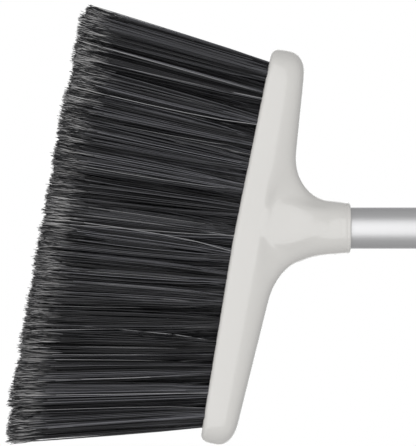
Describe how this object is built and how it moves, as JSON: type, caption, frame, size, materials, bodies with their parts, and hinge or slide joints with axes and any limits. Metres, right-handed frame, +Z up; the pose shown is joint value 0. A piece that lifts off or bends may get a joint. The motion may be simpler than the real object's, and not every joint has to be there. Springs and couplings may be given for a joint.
{
  "type": "angled broom",
  "caption": "Angled broom: a moulded head with fanned, frayed-tip polymer bristles, screwed onto a straight aluminium handle with a soft grip and a hanging eye.",
  "frame": {"origin": "on the handle's axis, at the height of the lowest bristle tip when the broom is held upright", "axes": "+Z up along the handle's axis, +X towards the head's long arm (the toe), -Y out of the wide face that the picture shows"},
  "size_m": [0.2693, 0.0578, 0.9587],
  "materials": {
    "head_plastic": "glossy moulded",
    "bristle": "drawn filament, frayed tips",
    "staple_steel": "plain",
    "tube_aluminium": "satin anodised",
    "tip_plastic": "moulded",
    "rivet": "plain",
    "grip_rubber": "matt",
    "cap_plastic": "glossy moulded"
  },
  "bodies": {
    "handle": {"handle_tube": "tube_aluminium", "thread_tip": "tip_plastic", "tip_rivet": "rivet", "grip_sleeve": "grip_rubber", "hang_cap": "cap_plastic"},
    "head": {"head_block": "head_plastic", "bristle_row_1": "bristle", "bristle_row_2": "bristle", "bristle_row_3": "bristle", "bristle_row_4": "bristle", "bristle_row_5": "bristle", "staples_row_1": "staple_steel", "staples_row_2": "staple_steel", "staples_row_3": "staple_steel", "staples_row_4": "staple_steel", "staples_row_5": "staple_steel"}
  },
  "joints": [
    {"name": "head_unscrew", "type": "hinge", "parent": "handle", "child": "head", "pos_m": [0, 0, 0.193], "axis": [0, 0, -1], "range_deg": [0, 1260]}
  ]
}
